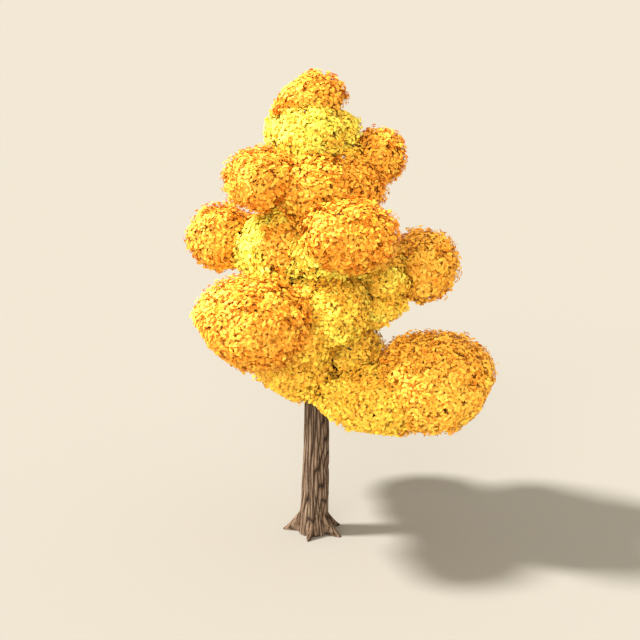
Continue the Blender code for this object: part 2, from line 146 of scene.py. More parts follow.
# Seeds of the random draws
SEED = 31
SEEDS_PER_METRE = 1000
PHASES = (0.0, 6.3)

# Branches of a mass. A depth is 0 at its centre and 1 on the surface of its space
BRANCHES_PER_SQUARE_METRE = 0.38
BRANCH_DEPTH = 0.60
BRANCH_DEPTHS = (0.92, 1.08)
BRANCH_LEAD = 0.5
BRANCH_FIRST_SHARE = 0.5
BRANCH_START_SCATTER = 0.06
BRANCH_UPTURN = 0.4
BRANCH_POINTS = 7
BRANCH_BEND = 0.42
FORK_RADIUS_SHARE = 0.62
BRANCH_TIP_RADIUS = 0.012

# Branchlets, which start along the branches
BRANCHLETS_PER_SQUARE_METRE = 2.75
BRANCHLET_DEPTH = 0.83
BRANCHLET_INSET = 0.20
BRANCHLET_SPREAD = 0.13
BRANCHLET_SCATTER = 0.03
BRANCHLET_STARTS = (0.45, 0.98)
BRANCHLET_POINTS = 4
BRANCHLET_BEND = 0.45
BRANCHLET_RADII = (0.014, 0.006)

# Sprays, which stand on a dome at each branchlet's end
SPRAYS_ON_BRANCHLET = 10
SPRAY_SCATTER = 0.06
SPRAY_INSET = 0.08
SPRAY_STARTS = (0.45, 1.0)
SPRAY_POINTS = 2
SPRAY_BEND = 0.4
SPRAY_RADII = (0.0065, 0.003)
DOME_HEIGHT = 0.28
DOME_RADIUS = 0.46
DOME_MIDDLE = 0.5
DOME_ROUGHNESS = 0.25
DEEPEST_SPRAY = 0.40
FURTHEST_SPRAY = 0.86
FURTHEST_LEAF = 0.895

# How far each kind may reach across a crease into the next mass, as a depth
BRANCHLET_OVERLAP = 0.10
SPRAY_OVERLAP = 0.07
LEAF_OVERLAP = 0.08

# Planes that masses stop at, as normal and offset. They keep the trunk clear and lift the ledge's
# end to a tip
TRIMS = (
    ("foliage_skirt_1", (0.600, 0.000, 0.800), 3.92),
    ("foliage_ledge_1", (-0.500, 0.000, 0.866), 5.04),
    ("foliage_middle_right_inner", (-0.500, 0.000, 0.866), 5.04),
)
TRIM_REACH = 0.45

# Undersides and shoulders that are flat in the crown's outline, as pixels of the photograph, across
# and down. The mass stops at the plane through the camera and each two neighbouring pixels. The
# digits that such a plane keeps are finer than a pixel
PHOTOGRAPH_SIDE = 640
FLAT_OUTLINES = {
    "foliage_lower_left": ((193, 323), (209, 350), (240, 373)),
    "foliage_base_1": ((252, 371), (268, 388), (297, 405)),
    "foliage_lower_right": ((499, 375), (482, 410), (462, 429)),
    "foliage_lower_right_inner": ((352, 432), (390, 437)),
    "foliage_cap": ((274, 100), (280, 90), (308, 69)),
    "foliage_crest_2": ((343, 109), (357, 116)),
}
NORMAL_DIGITS = 3
OFFSET_DIGITS = 2

# Sprays are few where masses shut out the sky. Rays from each branchlet's end tell how much shows
SKY_RAYS = 40
SKY_STEPS = (0.4, 0.8, 1.3, 1.9, 2.6, 3.4, 4.4)
SKY_OPAQUE_DEPTH = 0.78
FULL_LEAF_OPENNESS = 0.16
LEAST_LEAF_SHARE = 0.25

# Leaves. The blade's outline, in shares of the leaf's length, is across, along and out of its plane
LEAF_LENGTH = 0.108
LEAF_SIZES = (0.72, 1.2)
STALK_SHARE = 0.65
STALK_WIDTH_SHARE = 0.035
STALK_LENGTHS = (0.6, 1.2)
STALK_FORWARD = 0.5
STALK_OUTWARD = 0.4
LEAF_NODES = (0.34, 0.58, 0.80, 1.0)
LUMP_ROUNDNESS = 0.25
FACE_FROM_KNOT = 0.6
FACE_OUTWARD = 0.6
FACE_UP = 0.35
LEAF_DISORDER = 0.28
LENGTH_DISORDER = 0.35
LEAF_DROOP = 0.45
LEAVES_AT_NODE = 3
BLADE_OUTLINE = (
    (0.0, 0.0, 0.0),
    (0.77, 0.46, -0.20),
    (0.42, 0.92, -0.12),
    (0.0, 0.74, 0.04),
    (-0.42, 0.92, -0.12),
    (-0.77, 0.46, -0.20),
)
LEAF_FACES = ((0, 1, 2), (2, 3, 4), (2, 4, 5), (2, 5, 6), (2, 6, 7))

# Tints of the leaves, each with its slot in the record
TINTS = {
    "amber_deep": ("amber_leaves", (0.90, 0.355, 0.025)),
    "amber": ("amber_leaves", (0.92, 0.435, 0.037)),
    "amber_gold": ("amber_leaves", (0.94, 0.485, 0.047)),
    "amber_light": ("amber_leaves", (0.96, 0.565, 0.064)),
    "yellow_deep": ("yellow_leaves", (0.94, 0.52, 0.045)),
    "yellow": ("yellow_leaves", (0.97, 0.65, 0.063)),
    "yellow_lemon": ("yellow_leaves", (0.99, 0.84, 0.105)),
}

# Shares of the tints in the masses. A mass with no mix of its own has the amber or the yellow one
AMBER_MIX = (("amber_deep", 0.35), ("amber", 0.24), ("amber_gold", 0.25), ("amber_light", 0.16))
# Lighter tints for the lower right and middle right masses, which lie in the crown's shadow:
# painted light that lifts their shaded leaves
PAINTED_LIGHT_AMBER_MIX = (
    ("amber_deep", 0.12),
    ("amber", 0.20),
    ("amber_gold", 0.34),
    ("amber_light", 0.34),
)
YELLOW_MIX = (("yellow_deep", 0.40), ("yellow", 0.38), ("yellow_lemon", 0.22))
LEMON_MIX = (("yellow_deep", 0.06), ("yellow", 0.30), ("yellow_lemon", 0.64))
GOLD_MIX = (("amber_gold", 0.08), ("yellow_deep", 0.44), ("yellow", 0.48))
DEEP_GOLD_MIX = (("amber_deep", 0.28), ("amber", 0.30), ("amber_gold", 0.28), ("yellow_deep", 0.14))
# Deeper tints for the front mass, which faces the sun: painted shade that tones down its sunlit
# leaves
PAINTED_SHADE_AMBER_MIX = (
    ("amber_deep", 0.46),
    ("amber", 0.28),
    ("amber_gold", 0.18),
    ("amber_light", 0.08),
)
MIXES = {
    "foliage_crest": LEMON_MIX,
    "foliage_shoulder": DEEP_GOLD_MIX,
    "foliage_base": GOLD_MIX,
    "foliage_waist_3": LEMON_MIX,
    "foliage_middle_left_inner": LEMON_MIX,
    "foliage_upper_left_inner": LEMON_MIX,
    "foliage_front_inner": LEMON_MIX,
    "foliage_lower_right_inner": GOLD_MIX,
    # Painted light: lighter tints on the masses in the crown's shadow
    "foliage_lower_right": PAINTED_LIGHT_AMBER_MIX,
    "foliage_middle_right": PAINTED_LIGHT_AMBER_MIX,
    # Painted shade: deeper tints on the sunlit front mass
    "foliage_front": PAINTED_SHADE_AMBER_MIX,
}

# A patch of amber sprays in a yellow mass: the mass, its middle and its radius
AMBER_PATCH = ("foliage_waist_3", (-0.93, -1.72, 9.82), 0.78)

# How tints are dealt to sprays: the height and pitch of the waves that make neighbours alike
TINT_WAVES = ((0.13, 2.2), (0.17, 4.0))
TINT_NOISE = 0.22

# The finish of the leaves
LEAF_ROUGHNESS = 0.55
LEAF_SPECULAR = 0.25

# The finish of the bark. Its tones run from the furrows to the ridges: the paler, greyer ridges are
# the bark's own colour, and the dark in the furrows is partly the bark's own colour and partly
# painted shade
BARK_COLOUR = (0.11, 0.07, 0.045)
BARK_TONES = (
    (0.10, (0.030, 0.018, 0.011)),
    (0.50, (0.150, 0.094, 0.058)),
    (0.95, (0.290, 0.212, 0.150)),
)
BARK_ROUGHNESS = 0.92
BARK_SPECULAR = 0.2
TRUNK_GRAIN = 9.0
BOUGH_GRAIN = 22.0
STEM_GRAIN = 30.0
GRAIN_STRETCH = 0.22
GRAIN_DETAIL = 9.0
GRAIN_ROUGHNESS = 0.7
GRAIN_CONTRAST = 1.3
GRAIN_OFFSET = -0.15
RIDGED_GRAIN_OFFSET = -0.78
RIDGE_CONTRAST = 0.95
BUMP_STRENGTH = 0.8
BUMP_SHARE = 0.35
TWIG_COLOUR = (0.15, 0.095, 0.055)
TWIG_ROUGHNESS = 0.8
TWIG_SPECULAR = 0.5

# The camera looks down on the tree by its tilt
CAMERA_PLACE = (0.22, -27.8, 13.15)
CAMERA_TILT = 12.0
LENS_LENGTH = 50.0
SENSOR_WIDTH = 36.0
FURTHEST_SEEN = 500.0

# Light. Each lamp's heading, strength, angle and colour. The floor is as bright as the sky
FLOOR_RADIUS = 1500.0
FLOOR_SIDES = 96
SKY_COLOUR = (0.888, 0.807, 0.665)
LAMPS = {
    "sun": ((0.85, 0.02, -1.0), 2.2, 8.0, (1.0, 0.97, 0.92)),
    "front_fill": ((0.25, 0.90, -0.30), 0.9, 50.0, (1.0, 0.96, 0.90)),
}

UP = np.array((0.0, 0.0, 1.0))
RIGHT = np.array((1.0, 0.0, 0.0))
FULL_TURN = 2.0 * math.pi
ALMOST_ONE = 0.999
GOLDEN_ANGLE = math.pi * (3.0 - math.sqrt(5.0))


def unit(vectors):
    return vectors / np.maximum(np.linalg.norm(vectors, axis=-1, keepdims=True), 1e-9)


def polar(azimuth, reach, height):
    turn = math.radians(azimuth)
    return np.array((reach * math.cos(turn), reach * math.sin(turn), height))


def angles_round(count):
    return np.linspace(0.0, FULL_TURN, count, endpoint=False)


def trunk_axis(height):
    """The leader's middle at one or more heights."""
    across = TRUNK_SWAY * np.sin(np.pi * height / TRUNK_SWAY_WAVE)
    back = TRUNK_SWAY_BACK * np.sin(np.pi * height / TRUNK_SWAY_BACK_WAVE)
    return np.stack([across, back, np.asarray(height, float)], axis=-1)


def trunk_radius(height):
    height = np.maximum(height, 0.0)
    share = np.maximum(0.0, 1.0 - height / TRUNK_TAPER_HEIGHT)
    flare = FLARE_RADIUS * np.exp(-height / FLARE_HEIGHT)
    return TRUNK_FOOT_RADIUS * share**TRUNK_TAPER_POWER + flare


def line_of_sight(across, down):
    """The heading from the camera through a pixel of the photograph."""
    tilt = math.radians(CAMERA_TILT)
    ahead = np.array((0.0, math.cos(tilt), -math.sin(tilt)))
    above = np.array((0.0, math.sin(tilt), math.cos(tilt)))
    focal_length = LENS_LENGTH / SENSOR_WIDTH * PHOTOGRAPH_SIDE
    middle = PHOTOGRAPH_SIDE / 2.0
    return ahead + (RIGHT * (across - middle) + above * (middle - down)) / focal_length


def outline_plane(first, second, centre):
    """The plane through the camera and two pixels, as normal and offset, facing the centre."""
    normal = unit(np.cross(line_of_sight(*first), line_of_sight(*second))).round(NORMAL_DIGITS)
    offset = round(float(normal @ CAMERA_PLACE), OFFSET_DIGITS)
    return (normal, offset) if normal @ centre > offset else (-normal, -offset)


class Mass:
    """One mass of foliage: its ellipsoid of space and the limb that carries it."""

    def __init__(self, name, centre, half_width, half_height, amber, has_bough):
        self.name = name
        self.centre = centre
        self.half = np.array((half_width, half_width, half_height)) * SPACE_SCALE
        self.amber = amber
        self.has_bough = has_bough
        self.hub = centre - UP * (self.half[2] * HUB_DROP_SHARE)
        self.mean = self.half.mean()
        planes = [row[1:] for row in TRIMS if row[0] == name]
        self.trims = [(np.array(normal), offset) for normal, offset in planes]
        outline = FLAT_OUTLINES.get(name, ())
        self.trims += [outline_plane(*ends, centre) for ends in zip(outline, outline[1:])]

    def depth(self, points):
        return np.linalg.norm((points - self.centre) / self.half, axis=-1)

    def place(self, directions, depths):
        return self.centre + directions * self.half * depths[:, None]

    def is_trimmed(self, points):
        """Whether each point lies past one of the planes that the mass stops at."""
        is_past = np.zeros(points.shape[:-1], bool)
        for normal, offset in self.trims:
            is_past |= points @ normal < offset
        return is_past

    def held_back(self, points, inset):
        """The points, with those a little way past such a plane moved back inside it."""
        for normal, offset in self.trims:
            past = offset + inset - points @ normal
            is_near = (past > 0.0) & (past < inset + TRIM_REACH)
            points = points + np.where(is_near, past, 0.0)[:, None] * normal
        return points


def owned(points, mass, masses, margin=0.0):
    """Whether each point lies in the mass's own space, and its depth there."""
    depth = mass.depth(points)
    nearest = np.min([other.depth(points) for other in masses if other is not mass], axis=0)
    return (depth <= 1.0) & (nearest > depth + margin) & ~mass.is_trimmed(points), depth


def openness(points, masses):
    """The share of the directions from each point that no mass stands in."""
    rays = spread(SKY_RAYS, 0.0)
    is_open = np.ones((len(points), SKY_RAYS), bool)
    for step in SKY_STEPS:
        seen = points[:, None] + rays[None] * step
        for mass in masses:
            is_open &= (mass.depth(seen) > SKY_OPAQUE_DEPTH) | mass.is_trimmed(seen)
    return is_open.mean(axis=1)


def plan_masses():
    masses = []
    for name, (azimuth, reach, height, half_width, half_height) in PUFFS.items():
        centre = polar(azimuth, reach, height)
        masses.append(Mass(f"foliage_{name}", centre, half_width, half_height, True, True))
        to_front = -1.0 if math.cos(math.radians(azimuth)) > 0.0 else 1.0
        inner = polar(
            azimuth + INNER_TURN * to_front,
            reach * INNER_REACH_SHARE,
            height - half_width * INNER_DROP_SHARE - (LIP_DROP if name == LIP_UNDER else 0.0),
        )
        sizes = (half_width * INNER_SIZE_SHARE, half_height * INNER_SIZE_SHARE)
        masses.append(Mass(f"foliage_{name}_inner", inner, *sizes, False, False))
    for name, (azimuths, reach, height, half_width, half_height) in RINGS.items():
        for number, azimuth in enumerate(azimuths, 1):
            place = f"{name}_{number}"
            centre = polar(azimuth, reach, height)
            amber = place in AMBER_AMONG_RINGS
            masses.append(Mass(f"foliage_{place}", centre, half_width, half_height, amber, False))
    height, half_width, half_height = CAP
    centre = trunk_axis(TRUNK_TIP_HEIGHT)
    centre[2] = height
    masses.append(Mass("foliage_cap", centre, half_width, half_height, True, False))
    for mass in masses:
        mass.limb = plan_limb(mass)
    return masses


def plan_limb(mass):
    """Points and radii of the limb from the middle of the trunk to the hub of its mass."""
    base_radius = (BOUGH_RADIUS_SHARE if mass.has_bough else STEM_RADIUS_SHARE) * mass.half[0]
    rise = BOUGH_RISE_SHARE if mass.has_bough else STEM_RISE_SHARE
    lowest = LOWEST_BOUGH if mass.has_bough else LOWEST_STEM
    collar = COLLAR_SHARE
    start = trunk_axis(max(lowest, mass.hub[2] - rise * math.hypot(mass.hub[0], mass.hub[1])))
    if mass.name == "foliage_cap":
        start = trunk_axis(TRUNK_TIP_HEIGHT)
        base_radius = trunk_radius(TRUNK_TIP_HEIGHT)
        collar = 0.0
    share = np.linspace(0.0, 1.0, BOUGH_POINTS if mass.has_bough else STEM_POINTS)
    length = np.linalg.norm(mass.hub - start)
    points = start + share[:, None] * (mass.hub - start)
    if mass.has_bough:
        points += UP * (BOUGH_ARCH * length * np.sin(np.pi * share))[:, None]
    rng = np.random.default_rng(int(SEEDS_PER_METRE * abs(mass.centre).sum()))
    for waves in LIMB_WAVES:
        sway = unit(rng.normal(size=3)) * LIMB_WANDER / waves**0.5
        points = points + sway * (np.sin(np.pi * waves * share) * np.sin(np.pi * share))[:, None]
    swelling = collar * np.exp(-share * length / COLLAR_LENGTH)
    return points, base_radius * (1.0 - (1.0 - TIP_TAPER) * share + swelling)


def mesh_object(name, verts, faces):
    """A mesh object from an array of points and an array of triangles or quads."""
    mesh = bpy.data.meshes.new(name)
    sides = faces.shape[1]
    mesh.vertices.add(len(verts))
    mesh.vertices.foreach_set("co", np.ascontiguousarray(verts, np.float32).ravel())
    mesh.loops.add(faces.size)
    mesh.loops.foreach_set("vertex_index", np.ascontiguousarray(faces, np.int32).ravel())
    mesh.polygons.add(len(faces))
    mesh.polygons.foreach_set("loop_start", np.arange(0, faces.size, sides, dtype=np.int32))
    mesh.polygons.foreach_set("loop_total", np.full(len(faces), sides, np.int32))
    mesh.update(calc_edges=True)
    mesh.validate()
    obj = bpy.data.objects.new(name, mesh)
    bpy.context.scene.collection.objects.link(obj)
    return obj


def ride_as(piece, nodes, finish):
    """Puts a piece on the tree's body, in place of its solids, with its finish."""
    piece.data.materials.append(finish)
    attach(piece, "root")
    if nodes:
        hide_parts(*nodes)


def circles(points, sides):
    """Directions evenly round each point of each line; points is (lines, points, 3)."""
    along = unit(np.gradient(points, axis=1))
    chord = unit(points[:, -1] - points[:, 0])
    helper = np.where(np.abs(chord[:, 2:3]) > STEEP, (1.0, 0.0, 0.0), (0.0, 0.0, 1.0))
    side = unit(np.cross(along, helper[:, None, :]))
    upper = np.cross(side, along)
    angle = angles_round(sides)[:, None]
    return side[:, :, None] * np.cos(angle) + upper[:, :, None] * np.sin(angle)


def ring_walls(rings, sides):
    """The quads between the rings of points of one tube."""
    low = np.arange(rings - 1)[:, None] * sides + np.arange(sides)
    low_next = np.arange(rings - 1)[:, None] * sides + (np.arange(sides) + 1) % sides
    return np.stack([low, low_next, low_next + sides, low + sides], axis=-1).reshape(-1, 4)


def halved(quads):
    return np.concatenate([quads[:, [0, 1, 2]], quads[:, [0, 2, 3]]])


def tubes(points, radii, sides):
    """Tapering tubes with a capped tip along many lines of equal length: points and triangles."""
    lines, rings = points.shape[:2]
    verts = points[:, :, None] + circles(points, sides) * radii[:, :, None, None]
    first = np.arange(lines)[:, None, None] * rings * sides
    walls = halved((first + ring_walls(rings, sides)).reshape(-1, 4))
    tip = first + (rings - 1) * sides
    fan = np.arange(1, sides - 1)[None, :, None]
    caps = np.concatenate([tip + 0 * fan, tip + fan, tip + fan + 1], axis=-1).reshape(-1, 3)
    return verts.reshape(-1, 3), np.concatenate([walls, caps])


def furrows(angle, height, count, rng):
    """0 along furrows that wander up a trunk, 1 on the ridges between them."""
    wander = np.zeros(np.broadcast(angle, height).shape)
    for _ in range(FURROW_WAVES):
        turns = rng.integers(*FURROW_TURNS)
        pitch = rng.uniform(*FURROW_PITCHES)
        sway = rng.uniform(*FURROW_SWAYS)
        phase = rng.uniform(*PHASES)
        wander = wander + sway * np.sin(turns * angle + pitch * height + phase)
    return np.abs(np.sin(0.5 * count * angle + FURROW_WANDER * wander)) ** FURROW_POWER


def bark_relief(angle, height, count, seed):
    """Long plates of bark, parted by two crossing sets of furrows and by short level cracks."""
    rng = np.random.default_rng(seed)
    plates = furrows(angle, height, count, rng)
    plates = np.minimum(plates, furrows(angle, height, count - CROSSING_FEWER, rng))
    cracks = furrows(height * CRACK_PITCH, angle * CRACK_TURNS, CRACKS, rng)
    unbroken = np.minimum(1.0, CRACK_EDGE * cracks)
    return plates * (1.0 - CRACK_DEPTH + CRACK_DEPTH * unbroken)


def root_columns(heights):
    """The angles of the trunk's columns at each height, closer together over the roots low down."""
    even = np.linspace(0.0, FULL_TURN, COLUMN_STEPS)
    crowd = np.zeros_like(even)
    for azimuth in ROOT_AZIMUTHS:
        away = (np.degrees(even) - azimuth + 180.0) % 360.0 - 180.0
        crowd += np.exp(-((away / ROOT_CROWDING_WIDTH) ** 2))
    share = np.arange(TRUNK_COLUMNS) / TRUNK_COLUMNS
    columns = []
    for height in heights:
        pull = ROOT_CROWDING * max(0.0, 1.0 - height / ROOT_ZONE_HEIGHT)
        density = 1.0 + pull * crowd
        total = np.concatenate([[0.0], np.cumsum((density[1:] + density[:-1]) / 2.0)])
        columns.append(np.interp(share, total / total[-1], even))
    return np.array(columns)


def reach_of_solid(node, heights, angles):
    """How far the solid reaches from the trunk's middle, at each height and angle."""
    corners = [vertex.co for vertex in node.data.vertices]
    faces = [tuple(face.vertices) for face in node.data.polygons]
    tree = BVHTree.FromPolygons(corners, faces)
    reach = np.zeros(angles.shape)
    for row, height in enumerate(heights):
        middle = trunk_axis(height)
        middle[2] = max(height, FOOT_CLEARANCE)
        for column, angle in enumerate(angles[row]):
            outward = Vector((math.cos(angle), math.sin(angle), 0.0))
            start = Vector(middle) + outward * RAY_LENGTH
            hit = tree.ray_cast(start, -outward, RAY_LENGTH)
            reach[row, column] = RAY_LENGTH - hit[3] if hit[0] else 0.0
    return reach


def smoothed(values, passes):
    """Values blurred up and round the trunk, a little on each pass."""
    for _ in range(passes):
        values = 0.5 * values + 0.25 * (np.roll(values, 1, axis=1) + np.roll(values, -1, axis=1))
        padded = np.concatenate([values[:1], values, values[-1:]])
        values = 0.5 * values + 0.25 * (padded[:-2] + padded[2:])
    return values


def make_trunk(node, finish):
    """The trunk and its root flare, with bark relief in the mesh."""
    heights = np.concatenate([np.linspace(*rows) for rows in TRUNK_ROWS])
    angles = root_columns(heights)
    plain = trunk_radius(heights)[:, None]
    radius = np.repeat(plain, TRUNK_COLUMNS, axis=1)
    low = int(np.searchsorted(heights, ROOT_FORM_HEIGHT))
    reach = reach_of_solid(node, heights[:low], angles[:low])
    radius[:low] = np.maximum(radius[:low] * ROUND_SHARE, reach)
    blended = low + BLEND_ROWS
    radius[:blended] = smoothed(radius[:blended], SMOOTH_PASSES)
    relief = bark_relief(angles, heights[:, None], PLATES_ROUND_TRUNK, SEED)
    fine = bark_relief(angles, heights[:, None] * ROOT_BARK_STRETCH, PLATES_ROUND_ROOTS, SEED)
    on_root = np.clip(ROOT_EDGE * (radius / plain - ROOT_START), 0.0, 1.0)
    relief = relief + on_root * (fine - relief)
    depth = BARK_DEPTH_SHARE * plain * (1.0 - ROOT_BARK_SHALLOWER * on_root)
    radius = radius + depth * (relief - MEAN_RELIEF)
    middle = trunk_axis(heights)
    verts = np.empty((*angles.shape, 3))
    verts[..., 0] = middle[:, 0:1] + radius * np.cos(angles)
    verts[..., 1] = middle[:, 1:2] + radius * np.sin(angles)
    verts[..., 2] = heights[:, None]
    points = np.concatenate([verts.reshape(-1, 3), [middle[0], middle[-1]]])
    rows, columns = angles.shape
    foot, tip, top = rows * columns, rows * columns + 1, (rows - 1) * columns
    here = np.arange(columns)
    after = (here + 1) % columns
    under = np.stack([after, here, np.full(columns, foot)], axis=-1)
    over = np.stack([top + here, top + after, np.full(columns, tip)], axis=-1)
    faces = np.concatenate([halved(ring_walls(rows, columns)), under, over])
    trunk = mesh_object("trunk_bark", points, faces)
    set_ridges(trunk, np.append(relief.ravel(), (MIDDLE_RIDGE, MIDDLE_RIDGE)))
    trunk.data.shade_smooth()
    ride_as(trunk, ["trunk"], finish)


def set_ridges(obj, values):
    """Stores how far each point stands out of the furrows, for the bark's colour, which darkens in
    the furrows partly as painted shade.
    """
    layer = obj.data.attributes.new("ridge", "FLOAT", "POINT")
    layer.data.foreach_set("value", np.asarray(values, np.float32))


def make_bough(mass, finish):
    """A bough from the trunk to the hub of its mass, with bark relief in the mesh."""
    points, radii = mass.limb
    angle = angles_round(BOUGH_SIDES)[None, :]
    steps = np.linalg.norm(np.diff(points, axis=0), axis=1)
    length = np.concatenate([[0.0], np.cumsum(steps)])[:, None]
    seed = int(SEEDS_PER_METRE * mass.mean)
    relief = bark_relief(angle, BOUGH_BARK_STRETCH * length, PLATES_ROUND_BOUGH, seed)
    girth = radii[:, None] * (1.0 + BOUGH_BARK_DEPTH_SHARE * (relief - MEAN_RELIEF))
    around = circles(points[None], BOUGH_SIDES)[0]
    verts = (points[:, None] + around * girth[..., None]).reshape(-1, 3)
    node_name = mass.name.replace("foliage", "bough")
    bough = mesh_object(f"{node_name}_bark", verts, ring_walls(len(points), BOUGH_SIDES))
    set_ridges(bough, relief.ravel())
    bough.data.shade_smooth()
    ride_as(bough, [node_name], finish)


def spread(count, turn):
    """Directions spaced evenly over a sphere, along a golden spiral."""
    number = np.arange(count)
    height = 1.0 - 2.0 * (number + 0.5) / count
    flat = np.sqrt(1.0 - height**2)
    angle = GOLDEN_ANGLE * number + turn
    return np.stack([flat * np.cos(angle), flat * np.sin(angle), height], axis=-1)


def arcs(starts, headings, ends, steps, bend):
    """Curved lines that leave each start along its heading and come round to each end."""
    share = np.linspace(0.0, 1.0, steps)[None, :, None]
    reach = np.linalg.norm(ends - starts, axis=-1, keepdims=True)
    pull = starts + headings * reach * bend
    start, pull, end = starts[:, None], pull[:, None], ends[:, None]
    return (1.0 - share) ** 2 * start + 2.0 * share * (1.0 - share) * pull + share**2 * end


def points_at(lines, which, shares):
    """The point and the heading at a share of the way along some of the lines."""
    steps = lines.shape[1] - 1
    place = np.clip(shares, 0.0, ALMOST_ONE) * steps
    step = place.astype(int)
    rest = (place - step)[:, None]
    first, second = lines[which, step], lines[which, step + 1]
    return first + (second - first) * rest, unit(second - first)


def tapered(start, end, lines):
    """Radii that run from one at the start of each line to another at its end."""
    share = np.linspace(0.0, 1.0, lines.shape[1])[None, :]
    start = np.broadcast_to(start, len(lines))[:, None]
    return start + (end - start) * share


class Growth:
    """The branches, branchlets and sprays of one mass."""

    def __init__(self, mass, masses, rng):
        self.mass = mass
        area = 4.0 * math.pi * mass.mean**2
        self.grow_branches(masses, rng, round(area * BRANCHES_PER_SQUARE_METRE))
        self.grow_branchlets(masses, rng, round(area * BRANCHLETS_PER_SQUARE_METRE))
        self.grow_sprays(masses, rng)

    def grow_branches(self, masses, rng, count):
        mass = self.mass
        directions = spread(count, rng.uniform(0.0, FULL_TURN))
        ends = mass.place(directions, BRANCH_DEPTH * rng.uniform(*BRANCH_DEPTHS, count))
        ends = ends[owned(ends, mass, masses)[0]]
        limb, radii = mass.limb
        axis = limb[-1] - limb[0]
        length = np.linalg.norm(axis)
        axis = axis / length
        offset = ends - limb[0]
        along = offset @ axis
        off = np.linalg.norm(offset - along[:, None] * axis, axis=1)
        shares = np.clip((along - BRANCH_LEAD * off) / length, BRANCH_FIRST_SHARE, 1.0)
        shares = shares - rng.uniform(0.0, BRANCH_START_SCATTER, len(ends))
        starts, headings = points_at(limb[None], np.zeros(len(ends), int), shares)
        headings = unit(headings + BRANCH_UPTURN * UP)
        self.branches = arcs(starts, headings, ends, BRANCH_POINTS, BRANCH_BEND)
        thick = np.interp(shares, np.linspace(0.0, 1.0, len(radii)), radii) * FORK_RADIUS_SHARE
        self.branch_radii = tapered(thick, BRANCH_TIP_RADIUS, self.branches)

    def grow_branchlets(self, masses, rng, count):
        mass = self.mass
        directions = spread(count, rng.uniform(0.0, FULL_TURN))
        directions = unit(directions + rng.normal(0.0, BRANCHLET_SCATTER, (count, 3)))
        inset = BRANCHLET_INSET + rng.uniform(-BRANCHLET_SPREAD, BRANCHLET_SPREAD, count)
        ends = mass.place(directions, BRANCHLET_DEPTH - inset / mass.mean)
        ends = mass.held_back(ends, BRANCHLET_INSET)
        ends = ends[owned(ends, mass, masses, -BRANCHLET_OVERLAP)[0]]
        tips = self.branches[:, -1]
        nearest = np.argmin(np.linalg.norm(ends[:, None] - tips[None], axis=2), axis=1)
        shares = rng.uniform(*BRANCHLET_STARTS, len(ends))
        starts, headings = points_at(self.branches, nearest, shares)
        self.branchlets = arcs(starts, headings, ends, BRANCHLET_POINTS, BRANCHLET_BEND)
        self.branchlet_radii = tapered(*BRANCHLET_RADII, self.branchlets)

    def grow_sprays(self, masses, rng):
        mass = self.mass
        ends = self.branchlets[:, -1]
        sky = np.minimum(1.0, openness(ends, masses) / FULL_LEAF_OPENNESS)
        share = LEAST_LEAF_SHARE + (1.0 - LEAST_LEAF_SHARE) * sky
        sprays = np.round(SPRAYS_ON_BRANCHLET * share).astype(int)
        parent = np.repeat(np.arange(len(ends)), sprays)
        count = len(parent)
        number = np.concatenate([np.arange(own) for own in sprays])
        knots = ends[parent]
        outward = unit((knots - mass.centre) / mass.half**2)
        side = unit(np.cross(outward, unit(rng.normal(size=3))))
        away = np.sqrt((number + 0.5) / sprays[parent])[:, None]
        angle = (GOLDEN_ANGLE * number + rng.uniform(*PHASES, len(ends))[parent])[:, None]
        level = side * np.cos(angle) + np.cross(outward, side) * np.sin(angle)
        level = level * away * DOME_RADIUS + rng.normal(0.0, SPRAY_SCATTER, (count, 3))
        rise = DOME_MIDDLE - away**2 + rng.normal(0.0, DOME_ROUGHNESS, (count, 1))
        ends = mass.held_back(knots + level + outward * DOME_HEIGHT * rise, SPRAY_INSET)
        is_owned, depth = owned(ends, mass, masses, -SPRAY_OVERLAP)
        kept = is_owned & (depth > DEEPEST_SPRAY) & (depth < FURTHEST_SPRAY)
        ends, parent = ends[kept], parent[kept]
        shares = rng.uniform(*SPRAY_STARTS, len(ends))
        starts, headings = points_at(self.branchlets, parent, shares)
        self.sprays = arcs(starts, headings, ends, SPRAY_POINTS, SPRAY_BEND)
        self.spray_radii = tapered(*SPRAY_RADII, self.sprays)
        self.spray_knots = self.branchlets[parent, -1]


def grow_leaves(growth, masses, rng):
    """The leaves of one mass: starts, roots, lengthwise and normal directions, sizes, sprays."""
    mass = growth.mass
    sprays = len(growth.sprays)
    at, headings, which, nodes = [], [], [], []
    for share in LEAF_NODES:
        point, heading = points_at(growth.sprays, np.arange(sprays), np.full(sprays, share))
        for number in range(LEAVES_AT_NODE):
            at.append(point)
            headings.append(heading)
            which.append(np.arange(sprays))
            nodes.append(np.full(sprays, number))
    at, headings = np.concatenate(at), np.concatenate(headings)
    which, nodes = np.concatenate(which), np.concatenate(nodes)
    count = len(at)
    side = unit(np.cross(headings, unit(rng.normal(size=(count, 3)))))
    upper = np.cross(side, headings)
    turn = FULL_TURN * (nodes / LEAVES_AT_NODE) + rng.uniform(0.0, FULL_TURN, sprays)[which]
    radial = side * np.cos(turn)[:, None] + upper * np.sin(turn)[:, None]
    outward = unit((at - mass.centre) / mass.half**2)
    lump = unit(at - growth.spray_knots[which] + outward * LUMP_ROUNDNESS)
    size = LEAF_LENGTH * rng.uniform(*LEAF_SIZES, count)
    stalk = unit(headings * STALK_FORWARD + radial + outward * STALK_OUTWARD)
    root = at + stalk * (size * STALK_SHARE * rng.uniform(*STALK_LENGTHS, count))[:, None]
    facing = FACE_FROM_KNOT * lump + FACE_OUTWARD * outward + FACE_UP * UP
    normal = unit(facing + LEAF_DISORDER * rng.normal(size=(count, 3)))
    length = radial + LENGTH_DISORDER * rng.normal(size=(count, 3)) - LEAF_DROOP * UP
    length = unit(length - normal * np.sum(length * normal, axis=1, keepdims=True))
    tips = root + length * size[:, None]
    is_owned, depth = owned(tips, mass, masses, -LEAF_OVERLAP)
    kept = is_owned & (depth < FURTHEST_LEAF)
    return [part[kept] for part in (at, root, length, normal, size)], which[kept]


